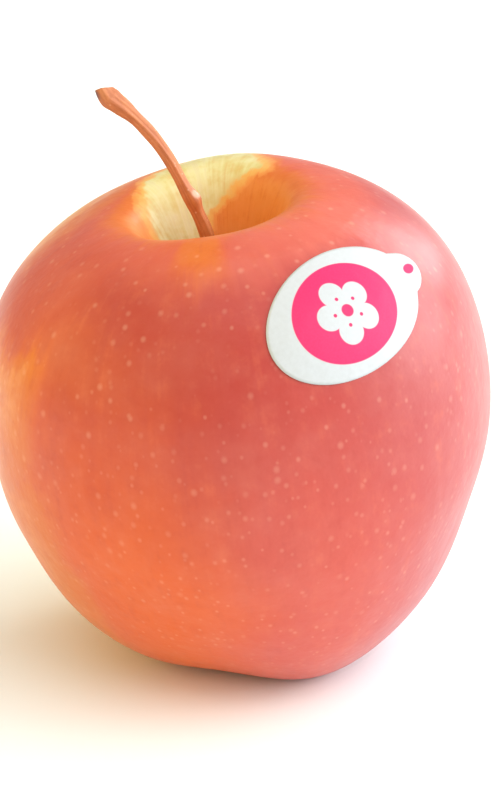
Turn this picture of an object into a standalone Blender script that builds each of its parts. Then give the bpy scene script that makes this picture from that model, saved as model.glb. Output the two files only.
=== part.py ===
"""A cripps pink apple at rest: the fruit, its woody stem, the dried calyx under it and a paper fruit label.

Metres, +Z up, with the apple standing on the crown at its calyx end and the labelled side facing -Y.
Lengths are named in millimetres, and MM turns them into metres.
"""

import math

import bmesh
import bpy
from mathutils import Matrix, Vector

MM = 0.001

# Fruit. The meridian is the control polygon of a smooth curve, as (radius, height) about the fruit's own
# axis, from the floor of the stem cavity over the shoulder and down to the floor of the calyx basin.
CAVITY_FLOOR = 20.5
BASIN_FLOOR = -28.0
MERIDIAN = (
    (0.0, CAVITY_FLOOR),
    (3.2, CAVITY_FLOOR),
    (6.0, 26.5),
    (9.8, 34.2),
    (12.9, 41.75),
    (27.85, 35.9),
    (38.5, 24.1),
    (40.3, 0.4),
    (36.05, -10.2),
    (31.0, -24.0),
    (19.6, -36.6),
    (12.7, -36.6),
    (7.5, -31.0),
    (3.6, BASIN_FLOOR),
    (0.0, BASIN_FLOOR),
)
FRUIT_SEGMENTS = 80
FRUIT_RINGS = 56

# The fruit isn't round: it is fuller to one side and along one diagonal, and its lower end sits off its axis.
FULLER_TO_X = 0.003
FULLER_TO_Y = -0.035
OVAL = 0.026
OVAL_AZIMUTH = math.radians(-46.0)
CROWN_TO_X = -0.034
CROWN_TO_Y = -0.038

# It swells over its five seed chambers, which aren't evenly spaced, and stands on a knob under each.
LOBES = 5
LOBE_AZIMUTH = math.radians(-67.7)
LOBE_CROWDING = -0.61
LOBE_CROWDING_AZIMUTH = math.radians(21.0)
LOBE_SWELL = 0.009
CROWN_SWELL = 0.012
KNOB_DROP = 0.7
CROWN_RADIUS = 15.0

# The rim of the stem cavity is higher on one side, and a little saddled.
RIM_RISE_X = 1.24
RIM_RISE_Y = -0.6
RIM_SADDLE = 0.54
RIM_SADDLE_AZIMUTH = math.radians(-82.0)
RIM_RADIUS = 17.0
LUMP_HEIGHT = 0.22

# The fruit leans a little to -X and -Y, and is flat where its knobs stand.
LEAN_TO_X = math.radians(6.5)
LEAN_TO_Y = math.radians(5.3)
FLAT_DEPTH = 0.35

# Stem, as (x, y, height, thickness) about the fruit's axis, and its five-ribbed section.
STEM_PATH = (
    (0.0, 0.0, 15.5, 1.05),
    (0.0, 0.0, 18.5, 1.1),
    (0.0, 0.3, 24.5, 1.1),
    (-0.7, 0.8, 30.0, 1.05),
    (-1.2, 1.3, 35.0, 1.15),
    (-3.3, 1.7, 40.2, 0.9),
    (-5.0, 2.2, 45.6, 0.95),
    (-7.7, 2.7, 50.7, 0.9),
    (-10.7, 3.0, 54.4, 1.15),
    (-12.6, 3.2, 56.2, 1.55),
    (-13.5, 3.3, 57.2, 1.7),
    (-14.1, 3.3, 59.0, 1.0),
)
STEM_RIBS = 5
STEM_RIB_DEPTH = 0.09
STEM_SIDES = 20
STEM_HOLE_RADIUS = 1.55
STEM_HOLE_DEPTH = 5.6
STEM_CUT_AT = (-13.7, 3.3, 58.0)
STEM_CUT_FACING = (-0.09, 0.52, 0.8)
BUD_SCAR_AT = (-1.95, 1.35, 39.2)
BUD_SCAR_SIZE = (0.85, 0.8, 1.6)

# Calyx: a button in a pocket of the basin, with a tuft of stamens and five dried sepals, each given as
# (degrees round the button, length, width, degrees of outward curl).
BUTTON_RADIUS = 2.6
BUTTON_TOP = -26.9
BUTTON_BOTTOM = -29.1
SEPALS = (
    (0.0, 6.6, 3.2, 62.0),
    (74.0, 5.6, 3.5, 48.0),
    (143.0, 6.9, 3.0, 70.0),
    (219.0, 5.2, 3.4, 40.0),
    (287.0, 6.2, 3.1, 57.0),
)
SEPAL_THICKNESS = 0.65
SEPAL_ROOT_RADIUS = 1.9
STAMENS = 9
STAMEN_RADIUS = 0.32
STAMEN_LENGTH = 2.6

# Label: an oval of paper with a pull tab at its upper right, wrapped on the skin.
LABEL_AZIMUTH = math.radians(-54.6)
LABEL_STATION = 0.3855
LABEL_TURN = math.radians(10.0)
LABEL_LENGTH = 27.2
LABEL_WIDTH = 18.4
TAB_RADIUS = 3.5
TAB_REACH = 12.1
TAB_DIRECTION = math.radians(-0.5)
LABEL_THICKNESS = 0.3
LABEL_SIDES = 56
LABEL_RINGS = 5

# Meshes keep this much clear of each other where the real pieces touch.
CLEARANCE = 0.3
HUGE = 200.0

SKIN_COLOUR = (0.66, 0.10, 0.07, 1.0)
WOOD_COLOUR = (0.42, 0.20, 0.10, 1.0)
CALYX_COLOUR = (0.16, 0.10, 0.05, 1.0)
PAPER_COLOUR = (0.86, 0.86, 0.85, 1.0)


def clear_scene():
    for old in list(bpy.data.objects):
        bpy.data.objects.remove(old, do_unlink=True)


def new_collection(name):
    made = bpy.data.collections.new(name)
    bpy.context.scene.collection.children.link(made)
    return made


def new_material(name, colour, roughness):
    material = bpy.data.materials.new(name)
    material.use_nodes = True
    shader = material.node_tree.nodes["Principled BSDF"]
    shader.inputs["Base Color"].default_value = colour
    shader.inputs["Roughness"].default_value = roughness
    shader.inputs["Metallic"].default_value = 0.0
    return material


def new_object(name, mesh, collection, parent=None, material=None):
    made = bpy.data.objects.new(name, mesh)
    collection.objects.link(made)
    made.parent = parent
    if material:
        mesh.materials.append(material)
    return made


def as_helper(obj):
    """A cutter or a guide: it shapes other objects and isn't part of the apple."""
    obj.hide_render = True
    obj.display_type = "WIRE"
    return obj


def smooth_share(value, start, end):
    """From 0 at start to 1 at end, with no corner at either."""
    share = min(max((value - start) / (end - start), 0.0), 1.0)
    return share * share * (3.0 - 2.0 * share)


def meridian_point(station):
    """(radius, height) of the meridian, at a station from 0 in the cavity to 1 in the basin."""
    first, last = MERIDIAN[1], MERIDIAN[-2]
    polygon = [(-first[0], first[1]), *MERIDIAN, (-last[0], last[1])]
    spans = len(MERIDIAN) - 1
    span = min(int(station * spans), spans - 1)
    t = station * spans - span
    weights = (
        (1.0 - t) ** 3 / 6.0,
        (3.0 * t**3 - 6.0 * t**2 + 4.0) / 6.0,
        (-3.0 * t**3 + 3.0 * t**2 + 3.0 * t + 1.0) / 6.0,
        t**3 / 6.0,
    )
    near = polygon[span : span + 4]
    return tuple(sum(w * point[axis] for w, point in zip(weights, near)) for axis in (0, 1))


def skin_point(azimuth, station):
    """A point of the skin about the fruit's axis, in millimetres."""
    radius, height = meridian_point(station)
    upper = smooth_share(height, 8.0, 38.0)
    lower = smooth_share(height, 0.0, -36.0)
    girth = min(radius / 30.0, 1.0)
    east, north = math.cos(azimuth), math.sin(azimuth)
    crowding = LOBE_CROWDING * math.cos(azimuth - LOBE_CROWDING_AZIMUTH)
    lobe = math.cos(LOBES * (azimuth - LOBE_AZIMUTH) + crowding)
    saddle = RIM_SADDLE * math.cos(2.0 * (azimuth - RIM_SADDLE_AZIMUTH))
    lumps = math.sin(3.0 * azimuth + 0.12 * height) + 0.6 * math.sin(7.0 * azimuth - 0.09 * height + 1.3)
    knob = KNOB_DROP * lobe * min(radius / CROWN_RADIUS, 1.0)
    slope = math.tan(LEAN_TO_X) * east + math.tan(LEAN_TO_Y) * north
    level = CROWN_RADIUS * min(radius / CROWN_RADIUS, 1.3) * slope
    height += upper * min(radius / RIM_RADIUS, 1.3) * (RIM_RISE_X * east + RIM_RISE_Y * north + saddle)
    height -= lower * (lower * knob + level)
    radius *= (
        1.0
        + FULLER_TO_X * east
        + FULLER_TO_Y * north
        + OVAL * math.cos(2.0 * (azimuth - OVAL_AZIMUTH))
        + lower * (CROWN_TO_X * east + CROWN_TO_Y * north)
        + girth * lobe * (LOBE_SWELL + CROWN_SWELL * lower * (1.0 - 0.3 * lower))
    )
    radius += LUMP_HEIGHT * girth * lumps
    return Vector((radius * east, radius * north, height))


def lean():
    """The rotation that carries the fruit's own axis to its leaning place."""
    return Matrix.Rotation(LEAN_TO_Y, 4, "X") @ Matrix.Rotation(-LEAN_TO_X, 4, "Y")


def make_skin_mesh():
    """A sphere whose rings and segments are carried to the skin."""
    mesh = bpy.data.meshes.new("fruit")
    shape = bmesh.new()
    bmesh.ops.create_uvsphere(shape, u_segments=FRUIT_SEGMENTS, v_segments=FRUIT_RINGS, radius=1.0)
    for vertex in shape.verts:
        station = math.acos(min(max(vertex.co.z, -1.0), 1.0)) / math.pi
        azimuth = math.atan2(vertex.co.y, vertex.co.x)
        vertex.co = skin_point(azimuth, station) * MM
    bmesh.ops.recalc_face_normals(shape, faces=shape.faces)
    shape.to_mesh(mesh)
    shape.free()
    mesh.shade_smooth()
    return mesh


def resting_place(mesh):
    """Where the fruit's axis frame goes: centred, and FLAT_DEPTH into the ground."""
    turned = [lean() @ vertex.co for vertex in mesh.vertices]
    lows = [min(point[axis] for point in turned) for axis in range(3)]
    highs = [max(point[axis] for point in turned) for axis in range(3)]
    return Vector((-(lows[0] + highs[0]) / 2, -(lows[1] + highs[1]) / 2, -lows[2] - FLAT_DEPTH * MM))


def make_axis(mesh):
    """The empty that every piece is parented to: the fruit's own frame, leaning and in its place."""
    axis = bpy.data.objects.new("apple_axis", None)
    bpy.context.scene.collection.objects.link(axis)
    axis.matrix_world = Matrix.Translation(resting_place(mesh)) @ lean()
    bpy.context.view_layer.update()
    return axis


def make_cylinder(name, radius, bottom, top, sides, collection, parent):
    mesh = bpy.data.meshes.new(name)
    shape = bmesh.new()
    bmesh.ops.create_cone(
        shape,
        cap_ends=True,
        segments=sides,
        radius1=radius * MM,
        radius2=radius * MM,
        depth=(top - bottom) * MM,
        matrix=Matrix.Translation((0.0, 0.0, (top + bottom) / 2 * MM)),
    )
    shape.to_mesh(mesh)
    shape.free()
    return new_object(name, mesh, collection, parent)


def make_ground_cutter(collection):
    mesh = bpy.data.meshes.new("ground_cutter")
    shape = bmesh.new()
    place = Matrix.Translation((0.0, 0.0, -HUGE / 2 * MM))
    bmesh.ops.create_cube(shape, size=HUGE * MM, matrix=place)
    shape.to_mesh(mesh)
    shape.free()
    return as_helper(new_object("ground_cutter", mesh, collection))


def add_boolean(obj, operation, other=None, collection=None):
    modifier = obj.modifiers.new(operation.lower(), "BOOLEAN")
    modifier.operation = operation
    modifier.solver = "EXACT"
    if collection:
        modifier.operand_type = "COLLECTION"
        modifier.collection = collection
    else:
        modifier.object = other
    return modifier


def applied(obj):
    """The object with its modifiers made part of its mesh."""
    graph = bpy.context.evaluated_depsgraph_get()
    mesh = bpy.data.meshes.new_from_object(obj.evaluated_get(graph))
    obj.modifiers.clear()
    obj.data = mesh
    return obj


def make_fruit(mesh, axis, parts, helpers):
    material = new_material("apple_skin", SKIN_COLOUR, 0.35)
    fruit = new_object("fruit", mesh, parts, axis, material)
    hole = make_cylinder(
        "stem_hole",
        STEM_HOLE_RADIUS,
        CAVITY_FLOOR - STEM_HOLE_DEPTH,
        CAVITY_FLOOR + 2.0,
        24,
        helpers,
        axis,
    )
    pocket = make_cylinder(
        "calyx_pocket",
        BUTTON_RADIUS + CLEARANCE,
        BASIN_FLOOR - 2.0,
        BUTTON_TOP + CLEARANCE,
        24,
        helpers,
        axis,
    )
    for cutter in (make_ground_cutter(helpers), as_helper(hole), as_helper(pocket)):
        add_boolean(fruit, "DIFFERENCE", cutter)
    return fruit


def make_section(helpers):
    """The stem's section: a circle with shallow ribs, in units of the stem's thickness."""
    curve = bpy.data.curves.new("stem_section", "CURVE")
    curve.dimensions = "2D"
    spline = curve.splines.new("POLY")
    spline.points.add(STEM_SIDES - 1)
    spline.use_cyclic_u = True
    for number, point in enumerate(spline.points):
        turn = 2.0 * math.pi * number / STEM_SIDES
        reach = (1.0 + STEM_RIB_DEPTH * math.cos(STEM_RIBS * turn)) * MM
        point.co = (reach * math.cos(turn), reach * math.sin(turn), 0.0, 1.0)
    return as_helper(new_object("stem_section", curve, helpers))


def make_stem_tube(section, collection, parent):
    curve = bpy.data.curves.new("stem_path", "CURVE")
    curve.dimensions = "3D"
    curve.bevel_mode = "OBJECT"
    curve.bevel_object = section
    curve.use_fill_caps = True
    curve.resolution_u = 3
    spline = curve.splines.new("NURBS")
    spline.points.add(len(STEM_PATH) - 1)
    for point, (x, y, height, thickness) in zip(spline.points, STEM_PATH):
        point.co = (x * MM, y * MM, height * MM, 1.0)
        point.radius = thickness
    spline.order_u = 4
    spline.use_endpoint_u = True
    guide = new_object("stem_path", curve, collection)
    graph = bpy.context.evaluated_depsgraph_get()
    mesh = bpy.data.meshes.new_from_object(guide.evaluated_get(graph))
    bpy.data.objects.remove(guide)
    mesh.name = "stem"
    return new_object("stem", mesh, collection, parent)


def cut_stem_end(mesh):
    """The stem parted from the tree on a slant, which leaves a flat scar at its flared end."""
    shape = bmesh.new()
    shape.from_mesh(mesh)
    bmesh.ops.remove_doubles(shape, verts=shape.verts, dist=0.0001 * MM)
    bmesh.ops.bisect_plane(
        shape,
        geom=[*shape.verts, *shape.edges, *shape.faces],
        plane_co=Vector(STEM_CUT_AT) * MM,
        plane_no=Vector(STEM_CUT_FACING),
        clear_outer=True,
    )
    rim = [edge for edge in shape.edges if edge.is_boundary]
    bmesh.ops.edgeloop_fill(shape, edges=rim)
    bmesh.ops.recalc_face_normals(shape, faces=shape.faces)
    shape.to_mesh(mesh)
    shape.free()


def make_bud_scar(helpers, axis):
    mesh = bpy.data.meshes.new("bud_scar")
    shape = bmesh.new()
    bmesh.ops.create_uvsphere(shape, u_segments=12, v_segments=8, radius=MM)
    shape.to_mesh(mesh)
    shape.free()
    scar = as_helper(new_object("bud_scar", mesh, helpers, axis))
    scar.location = Vector(BUD_SCAR_AT) * MM
    scar.rotation_euler = (0.0, math.radians(-22.0), 0.0)
    scar.scale = BUD_SCAR_SIZE
    return scar


def make_stem(axis, parts, helpers):
    stem = make_stem_tube(make_section(helpers), parts, axis)
    cut_stem_end(stem.data)
    stem.data.materials.append(new_material("stem_wood", WOOD_COLOUR, 0.6))
    add_boolean(stem, "UNION", make_bud_scar(helpers, axis))
    stem.data.shade_smooth()
    return stem


def sepal_point(across, along, length, width, curl):
    """A sepal's middle surface, with across from -1 to 1 and along from 0 at its root to 1 at its tip."""
    half = width / 2 * (1.0 - along) ** 0.7 * (1.0 + 0.5 * along)
    bend = math.radians(-12.0 + (curl + 12.0) * along**2)
    outward = SEPAL_ROOT_RADIUS + length * 0.62 * along * math.sin(bend) + 0.25 * across**2
    down = length * along * (1.0 - 0.3 * along**2)
    return Vector((outward, across * max(half, 0.12), BUTTON_BOTTOM + 0.7 - down))


def make_sepal(number, collection, axis):
    turn, *form = SEPALS[number]
    mesh = bpy.data.meshes.new(f"sepal_{number}")
    shape = bmesh.new()
    bmesh.ops.create_grid(shape, x_segments=4, y_segments=7, size=1.0)
    for vertex in shape.verts:
        vertex.co = sepal_point(vertex.co.x, (vertex.co.y + 1.0) / 2, *form) * MM
    shape.to_mesh(mesh)
    shape.free()
    sepal = new_object(f"sepal_{number}", mesh, collection, axis)
    sepal.rotation_euler = (0.0, 0.0, math.radians(turn))
    solidify = sepal.modifiers.new("thickness", "SOLIDIFY")
    solidify.thickness = SEPAL_THICKNESS * MM
    solidify.offset = 0.0
    return sepal


def make_stamen(number, collection, axis):
    """One of the tuft's stalks, on a spiral that fills the middle of the button."""
    turn = number * math.radians(137.5)
    reach = 1.1 * math.sqrt((number + 0.5) / STAMENS)
    mesh = bpy.data.meshes.new(f"stamen_{number}")
    shape = bmesh.new()
    bmesh.ops.create_cone(
        shape,
        cap_ends=True,
        segments=6,
        radius1=STAMEN_RADIUS * MM,
        radius2=STAMEN_RADIUS * MM,
        depth=(STAMEN_LENGTH + 1.0) * MM,
    )
    shape.to_mesh(mesh)
    shape.free()
    stamen = new_object(f"stamen_{number}", mesh, collection, axis)
    middle = BUTTON_BOTTOM + 1.0 - (STAMEN_LENGTH + 1.0) / 2
    stamen.location = Vector((reach * math.cos(turn), reach * math.sin(turn), middle)) * MM
    stamen.rotation_euler = (0.12 * math.sin(turn), -0.12 * math.cos(turn), 0.0)
    return stamen


def make_calyx(axis, parts, helpers):
    """The button with its sepals and stamens joined to it as one body."""
    pieces = new_collection("calyx_pieces")
    helpers.children.link(pieces)
    bpy.context.scene.collection.children.unlink(pieces)
    calyx = make_cylinder("calyx", BUTTON_RADIUS, BUTTON_BOTTOM, BUTTON_TOP, 20, parts, axis)
    calyx.data.materials.append(new_material("dried_calyx", CALYX_COLOUR, 0.85))
    for number in range(len(SEPALS)):
        make_sepal(number, pieces, axis)
    for number in range(STAMENS):
        make_stamen(number, pieces, axis)
    add_boolean(calyx, "UNION", collection=pieces)
    bpy.context.view_layer.update()
    applied(calyx)
    for piece in list(pieces.objects):
        bpy.data.objects.remove(piece)
    return calyx


def label_reach(turn):
    """How far the label's edge lies from its middle: the oval, or the tab where that reaches further."""
    a, b = LABEL_LENGTH / 2, LABEL_WIDTH / 2
    oval = a * b / math.hypot(b * math.cos(turn), a * math.sin(turn))
    off = turn - TAB_DIRECTION
    inside = TAB_RADIUS**2 - (TAB_REACH * math.sin(off)) ** 2
    if inside < 0.0 or math.cos(off) < 0.0:
        return oval
    return max(oval, TAB_REACH * math.cos(off) + math.sqrt(inside))


def label_frame():
    """The label's place: its middle on the skin, Z out of the skin, X along the label's length."""
    step = 0.001
    middle = skin_point(LABEL_AZIMUTH, LABEL_STATION)
    east = (skin_point(LABEL_AZIMUTH + step, LABEL_STATION) - middle).normalized()
    north = (middle - skin_point(LABEL_AZIMUTH, LABEL_STATION + step)).normalized()
    outward = east.cross(north).normalized()
    along = Matrix.Rotation(LABEL_TURN, 3, outward) @ east
    across = outward.cross(along)
    turned = Matrix((along, across, outward)).transposed().to_4x4()
    return Matrix.Translation(middle * MM) @ turned


def make_label(axis, parts, fruit):
    """A flat oval sheet, pressed on the skin and thickened outwards."""
    mesh = bpy.data.meshes.new("label")
    shape = bmesh.new()
    bmesh.ops.create_circle(shape, cap_ends=True, cap_tris=True, segments=LABEL_SIDES, radius=1.0)
    spokes = [edge for edge in shape.edges if not edge.is_boundary]
    bmesh.ops.subdivide_edges(shape, edges=spokes, cuts=LABEL_RINGS - 1)
    for vertex in shape.verts:
        share = vertex.co.length
        turn = math.atan2(vertex.co.y, vertex.co.x)
        reach = share * label_reach(turn)
        vertex.co = Vector((reach * math.cos(turn), reach * math.sin(turn), 0.0)) * MM
    shape.to_mesh(mesh)
    shape.free()
    label = new_object("label", mesh, parts, axis, new_material("label_paper", PAPER_COLOUR, 0.4))
    label.matrix_local = label_frame()
    wrap = label.modifiers.new("wrap", "SHRINKWRAP")
    wrap.target = fruit
    wrap.wrap_method = "PROJECT"
    wrap.use_project_z = True
    wrap.use_negative_direction = True
    wrap.use_positive_direction = True
    wrap.offset = CLEARANCE * MM
    thickness = label.modifiers.new("thickness", "SOLIDIFY")
    thickness.thickness = LABEL_THICKNESS * MM
    thickness.offset = 1.0
    return label


def main():
    clear_scene()
    parts = new_collection("cripps_pink_apple")
    helpers = new_collection("helpers")
    mesh = make_skin_mesh()
    axis = make_axis(mesh)
    fruit = make_fruit(mesh, axis, parts, helpers)
    make_stem(axis, parts, helpers)
    make_calyx(axis, parts, helpers)
    make_label(axis, parts, fruit)


main()
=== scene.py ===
import math
import random
from types import SimpleNamespace

import bpy
import numpy as np
from mathutils import Matrix, Vector
from mathutils.bvhtree import BVHTree


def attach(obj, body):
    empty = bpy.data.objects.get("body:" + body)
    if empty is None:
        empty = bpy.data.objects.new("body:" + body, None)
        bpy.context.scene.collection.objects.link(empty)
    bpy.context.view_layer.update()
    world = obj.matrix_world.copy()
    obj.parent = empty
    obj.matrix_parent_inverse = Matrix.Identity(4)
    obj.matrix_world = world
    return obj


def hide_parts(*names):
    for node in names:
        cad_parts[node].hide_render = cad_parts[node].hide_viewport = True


MM = 0.001
FULL_TURN = 2.0 * math.pi

# The fruit's shape, in the same named values as its solid: millimetres about the fruit's own axis.
CAVITY_FLOOR = 20.5
BASIN_FLOOR = -28.0
MERIDIAN = (
    (0.0, CAVITY_FLOOR),
    (3.2, CAVITY_FLOOR),
    (6.0, 26.5),
    (9.8, 34.2),
    (12.9, 41.75),
    (27.85, 35.9),
    (38.5, 24.1),
    (40.3, 0.4),
    (36.05, -10.2),
    (31.0, -24.0),
    (19.6, -36.6),
    (12.7, -36.6),
    (7.5, -31.0),
    (3.6, BASIN_FLOOR),
    (0.0, BASIN_FLOOR),
)
FULLER_TO_X = 0.003
FULLER_TO_Y = -0.035
OVAL = 0.026
OVAL_AZIMUTH = math.radians(-46.0)
CROWN_TO_X = -0.034
CROWN_TO_Y = -0.038
LOBES = 5
LOBE_AZIMUTH = math.radians(-67.7)
LOBE_CROWDING = -0.61
LOBE_CROWDING_AZIMUTH = math.radians(21.0)
LOBE_SWELL = 0.009
CROWN_SWELL = 0.012
KNOB_DROP = 0.7
CROWN_RADIUS = 15.0
RIM_RISE_X = 1.24
RIM_RISE_Y = -0.6
RIM_SADDLE = 0.54
RIM_SADDLE_AZIMUTH = math.radians(-82.0)
RIM_RADIUS = 17.0
LUMP_HEIGHT = 0.22
LEAN_TO_X = math.radians(6.5)
LEAN_TO_Y = math.radians(5.3)
FLAT_DEPTH = 0.35

# The heights over which the skin turns into its upper and its lower part, and the radius of its full girth.
UPPER_FROM = 8.0
UPPER_TO = 38.0
LOWER_FROM = 0.0
LOWER_TO = -36.0
GIRTH_RADIUS = 30.0
SKIN_SEGMENTS = 320
SKIN_RINGS = 230

# Stem, as (x, y, height, thickness) about the fruit's axis.
STEM_PATH = (
    (0.0, 0.0, 15.5, 1.05),
    (0.0, 0.0, 18.5, 1.1),
    (0.0, 0.3, 24.5, 1.1),
    (-0.7, 0.8, 30.0, 1.05),
    (-1.2, 1.3, 35.0, 1.15),
    (-3.3, 1.7, 40.2, 0.9),
    (-5.0, 2.2, 45.6, 0.95),
    (-7.7, 2.7, 50.7, 0.9),
    (-10.7, 3.0, 54.4, 1.15),
    (-12.6, 3.2, 56.2, 1.55),
    (-13.5, 3.3, 57.2, 1.7),
    (-14.1, 3.3, 59.0, 1.0),
)
STEM_RINGS = 220
STEM_SIDES = 56
STEM_TWIST = 0.5
STEM_CUT_AT = (-13.7, 3.3, 58.0)
STEM_CUT_FACING = (-0.09, 0.52, 0.8)
BUD_SCAR_AT = (-1.8, 1.2, 39.7)
BUD_SCAR_SIZE = (1.0, 1.1, 1.5)
BUD_SCAR_HEIGHT = 0.75
# Where a pale highlight is painted on the bud scar.
SCAR_HIGHLIGHT_AT = (-1.8, 1.0, 40.6)
STEM_DARK_CORNER = (-15.3, 3.0, 57.4)

# Calyx: (degrees round the button, length, width, degrees of outward curl) for each sepal.
BUTTON_RADIUS = 2.6
BUTTON_TOP = -26.9
BUTTON_BOTTOM = -29.1
BUTTON_SIDES = 40
SEPALS = (
    (0.0, 6.6, 3.2, 62.0),
    (74.0, 5.6, 3.5, 48.0),
    (143.0, 6.9, 3.0, 70.0),
    (219.0, 5.2, 3.4, 40.0),
    (287.0, 6.2, 3.1, 57.0),
)
SEPAL_ROOT_RADIUS = 1.9
SEPAL_THICKNESS = 0.30
SEPAL_ACROSS = 13
SEPAL_ALONG = 22
STAMENS = 17
STAMEN_TURN = math.radians(137.5)
STAMEN_SIDES = 8
STAMEN_STEPS = 8
TUFT_RADIUS = 1.7

# Label.
LABEL_AZIMUTH = math.radians(-54.6)
LABEL_STATION = 0.3855
LABEL_TURN = math.radians(10.0)
LABEL_LENGTH = 27.2
LABEL_WIDTH = 18.4
TAB_RADIUS = 3.5
TAB_REACH = 12.1
TAB_DIRECTION = math.radians(-0.5)
LABEL_SIDES = 160
LABEL_RINGS = 26
LABEL_LIFT = 0.1
LABEL_EDGE_LIFT = 0.05
TAB_LIFT = 0.55
TAB_LIFT_FROM = 11.5
TAB_LIFT_OVER = 4.4
PAPER_THICKNESS = 0.12
ABOVE_SKIN = 20.0

# The print: a round field, and on it a blossom of five petals, with an eye and a dot for each petal.
FIELD_AT = (-0.4, 0.0)
FIELD_SIZE = (8.9, 7.3)
PETALS = 5
PETAL_TURN = math.radians(98.0)
PETAL_RING = 3.1
PETAL_SIZE = 1.95
PETAL_JOIN_SIZE = 1.9
EYE_SIZE = 0.95
DOT_RING = 2.2
DOT_SIZE = 0.28
TAB_MARK_AT = (13.9, -0.1)
TAB_MARK_SIZE = (1.0, 0.75)
PRINT_SOFTNESS = 0.08
DOT_SOFTNESS = 0.05

# Camera: the photograph's, with its field of view for a 36 mm long side.
CAMERA_AT = (0.00019, -0.40961, 0.21434)
CAMERA_DOWN = math.radians(22.68)
CAMERA_RIGHT = math.radians(0.216)
CAMERA_LENS = 129.9

# Soft panels round the fruit: azimuth, elevation, size, radiance and colour.
PANELS = {
    "key": (9.0, 20.0, (0.95, 0.8), 4.4, (0.95, 1.0, 1.03)),
    "window": (49.0, 25.0, (0.40, 0.75), 6.0, (0.97, 1.0, 1.01)),
    "front": (325.0, 38.0, (0.95, 1.0), 3.0, (0.95, 1.0, 1.03)),
    "top": (270.0, 82.0, (1.3, 1.2), 0.9, (0.92, 1.0, 1.04)),
    "warm": (186.0, 20.0, (1.3, 0.7), 1.35, (1.0, 0.60, 0.16)),
}
PANEL_DISTANCE = 1.2
PANEL_AIM = (0.0, 0.0, 0.03)
COOL_SURROUND = (0.53, 0.60, 0.65, 1.0)
WARM_SURROUND = (1.0, 0.95, 0.36, 1.0)
BACK_SURROUND = (0.48, 0.48, 0.49, 1.0)
FLOOR_COLOUR = (0.91, 0.95, 0.96, 1.0)
FLOOR_HALF = 3.0
FLOOR_DROP = 0.00005


def srgb(red, green, blue):
    """A colour given in display values from 0 to 255, as the linear colour that shaders use."""
    channels = [value / 255 for value in (red, green, blue)]
    return (*[c / 12.92 if c <= 0.04045 else ((c + 0.055) / 1.055) ** 2.4 for c in channels], 1.0)


# The red of the skin, and tints laid over parts of it. A tint is given as its azimuth, how nearly the skin
# faces that where the tint starts and is full, the stations between which it grows, its strength and colour.
SHOULDER_RED = srgb(207, 88, 64)
DEEP_RED = srgb(181, 60, 50)
LOW_PINK = srgb(207, 82, 67)
LOW_ORANGE = srgb(221, 89, 8)
LOW_ORANGE_AZIMUTH = 222.0
EARLY_TURN_AZIMUTH = 228.0
# Painted sheen: a paler tint on the front right of the shoulder, near the label, paints in part of the
# highlight there.
RIM_SHEEN_TINT = (312.0, (0.70, 0.97), (0.36, 0.31), 0.70, srgb(210, 100, 84))
LEFT_TINT = (196.0, (0.72, 0.98), (0.30, 0.35), 0.75, srgb(208, 88, 52))
RIGHT_TINT = (345.0, (0.50, 0.97), (0.32, 0.40), 0.75, srgb(172, 70, 72))
RED_STREAK_PALE = srgb(224, 112, 70)
RED_STREAK_DARK = srgb(168, 44, 40)
CAVITY_DEPTH_BROWN = srgb(150, 112, 62)
LENTICEL = srgb(250, 206, 176)
WAX_BLOOM = srgb(240, 190, 176)

# The ground colour from where it barely shows through the red, at 0, to where it lies bare, at 1.
GROUND = (
    (0.0, srgb(216, 96, 34)),
    (0.35, srgb(215, 106, 28)),
    (0.55, srgb(228, 140, 62)),
    (0.78, srgb(228, 168, 84)),
    (1.0, srgb(214, 197, 132)),
)
CREAM = srgb(222, 211, 158)
GREENISH = srgb(206, 182, 100)

# The edges of the cream part in the cavity, as (station, degrees round the fruit).
CREAM_RIGHT = (
    (0.17, 94.0),
    (0.20, 85.0),
    (0.212, 76.0),
    (0.23, 65.0),
    (0.25, 57.0),
    (0.268, 49.0),
    (0.282, 45.0),
    (0.30, 53.0),
    (0.32, 66.0),
    (0.35, 90.0),
)
CREAM_LEFT = (
    (0.17, 176.0),
    (0.22, 172.0),
    (0.25, 161.0),
    (0.28, 148.0),
    (0.30, 130.0),
    (0.32, 108.0),
    (0.35, 92.0),
)

# Patches where the ground shows, as the azimuth of the middle, the degrees from it where the patch stops
# being full and where it ends, the stations where it begins, is full, fades and ends, and its strength.
BEHIND_PATCH = (122.0, 12.0, 66.0, (0.25, 0.38, 0.84, 0.95), 0.80)
LEFT_HIGH_PATCH = (207.0, 2.0, 20.0, (0.385, 0.42, 0.44, 0.52), 0.44)
LEFT_LOW_PATCH = (204.0, 4.0, 30.0, (0.43, 0.50, 0.74, 0.90), 0.40)
FRONT_RIM_PATCH = (266.0, 1.0, 15.0, (0.23, 0.27, 0.30, 0.37), 0.36)

# Other colours: bark and its cut end, dried flower, paper and ink.
BARK = (
    (0.10, srgb(150, 84, 42)),
    (0.42, srgb(186, 103, 57)),
    (0.62, srgb(202, 119, 70)),
    (0.90, srgb(214, 144, 94)),
)
BARK_ROOT = srgb(166, 106, 48)
BARK_SPECK = srgb(238, 196, 160)
CUT_WOOD = (
    (0.25, srgb(110, 64, 44)),
    (0.6, srgb(172, 112, 80)),
    (0.9, srgb(200, 146, 106)),
)
# A painted highlight for the bud scar.
SCAR_HIGHLIGHT_COLOUR = srgb(226, 172, 142)
DARK_WOOD = srgb(112, 60, 66)
DRIED = (
    (0.1, srgb(52, 36, 24)),
    (0.45, srgb(98, 72, 46)),
    (0.7, srgb(134, 108, 74)),
    (0.95, srgb(172, 152, 118)),
)
DRIED_TIP = srgb(48, 32, 22)
PAPER_GREY = srgb(191, 189, 189)
PAPER_PALE = srgb(198, 197, 198)
INK = srgb(224, 26, 88)
INK_PALE = srgb(230, 38, 98)


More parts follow.
